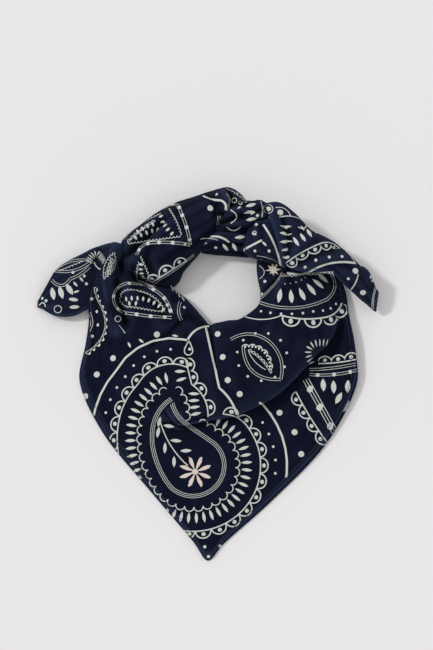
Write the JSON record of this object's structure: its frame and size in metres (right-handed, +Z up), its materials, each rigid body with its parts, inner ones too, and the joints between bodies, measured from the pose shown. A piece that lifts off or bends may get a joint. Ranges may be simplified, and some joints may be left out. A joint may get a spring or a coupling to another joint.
{
  "type": "bandana",
  "caption": "Printed cotton bandana, folded corner to corner, wound into a loose neck loop with a half knot and two tails, lying flat with its point towards the front.",
  "frame": {"origin": "on the table, below the middle of the box round the whole bandana", "axes": "+Z up from the table, +Y from the front point towards the knot, +X to the right as seen with the point nearest"},
  "size_m": [0.273, 0.3032, 0.0401],
  "materials": {
    "printed_cotton": "matt plain-weave cotton, navy with an off-white print"
  },
  "bodies": {
    "root": {"front_panel": "printed_cotton", "hidden_layers": "printed_cotton", "back_band": "printed_cotton", "knot_roll": "printed_cotton", "lower_strand": "printed_cotton", "knot_cross": "printed_cotton", "right_tail": "printed_cotton", "left_tail": "printed_cotton"}
  },
  "joints": []
}
